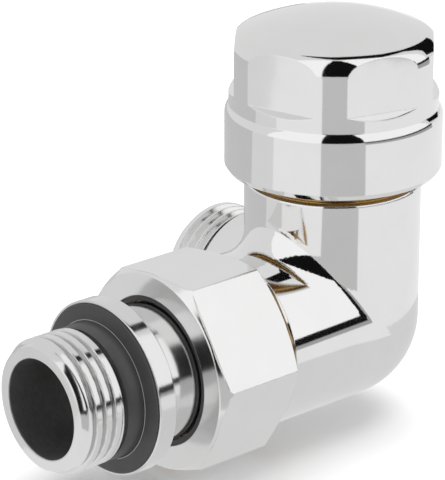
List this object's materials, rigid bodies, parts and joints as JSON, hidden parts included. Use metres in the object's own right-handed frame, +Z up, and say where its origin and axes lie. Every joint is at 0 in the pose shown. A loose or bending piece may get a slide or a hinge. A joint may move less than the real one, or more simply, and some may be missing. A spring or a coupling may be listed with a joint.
{
  "type": "thermostatic radiator valve",
  "caption": "Chrome-plated corner radiator valve: domed screw cap over a spring-loaded insert, union nut and self-sealing male tail to the radiator, male port to the pipe.",
  "frame": {"origin": "centre of the end face of the pipe port", "axes": "+Z up along the valve and cap axis, -X out of the pipe port, -Y out of the radiator tail; the three axes cross 28.7 mm behind the origin along +X"},
  "size_m": [0.0457, 0.0757, 0.0652],
  "materials": {
    "chrome": "polished plating on brass",
    "brass": "turned, unplated",
    "rubber": "matte black seal",
    "steel": "stainless, ground",
    "polymer": "moulded"
  },
  "bodies": {
    "valve": {"valve_body": "chrome", "insert_housing": "brass", "insert_o_ring": "rubber"},
    "cap_rise": {"cap_gasket": "rubber"},
    "cap": {"cap_shell": "chrome"},
    "tail": {"tail_piece": "chrome", "tail_support_washer": "rubber", "tail_sealing_ring": "rubber", "tail_snap_ring": "steel", "union_o_ring": "rubber"},
    "nut": {"union_nut": "chrome", "nut_ring": "rubber"},
    "preset": {"presetting_sleeve": "polymer", "sleeve_circlip": "steel", "sleeve_o_ring": "rubber", "pin_guide": "polymer", "gland_o_ring": "rubber", "gland_nut": "brass", "return_spring": "steel"},
    "pin": {"push_pin": "steel", "valve_spindle": "steel", "spring_seat": "brass", "disc_holder": "brass", "valve_disc_seal": "rubber", "disc_clip": "brass"}
  },
  "joints": [
    {"name": "cap_lift", "type": "slide", "parent": "valve", "child": "cap_rise", "axis": [0, 0, 1], "range_m": [0, 0.009]},
    {"name": "cap_turn", "type": "hinge", "parent": "cap_rise", "child": "cap", "pos_m": [0.0287, 0, 0.03], "axis": [0, 0, 1], "range_deg": [0, 2165]},
    {"name": "union_draw", "type": "slide", "parent": "valve", "child": "tail", "axis": [0, -1, 0], "range_m": [0, 0.009]},
    {"name": "nut_turn", "type": "hinge", "parent": "tail", "child": "nut", "pos_m": [0.0287, -0.03, 0], "axis": [0, -1, 0], "range_deg": [0, 2165]},
    {"name": "presetting_turn", "type": "hinge", "parent": "valve", "child": "preset", "pos_m": [0.0287, 0, 0.03], "axis": [0, 0, 1], "range_deg": [0, 315]},
    {"name": "pin_stroke", "type": "slide", "parent": "preset", "child": "pin", "axis": [0, 0, -1], "range_m": [0, 0.0028], "stiffness_N_per_m": 2500, "springref_m": -0.008, "deforming": ["return_spring"]}
  ],
  "couplings": [
    {"joint": "cap_turn", "follows": "cap_lift", "rad_per_m": 4188.8},
    {"joint": "nut_turn", "follows": "union_draw", "rad_per_m": 4188.8}
  ]
}
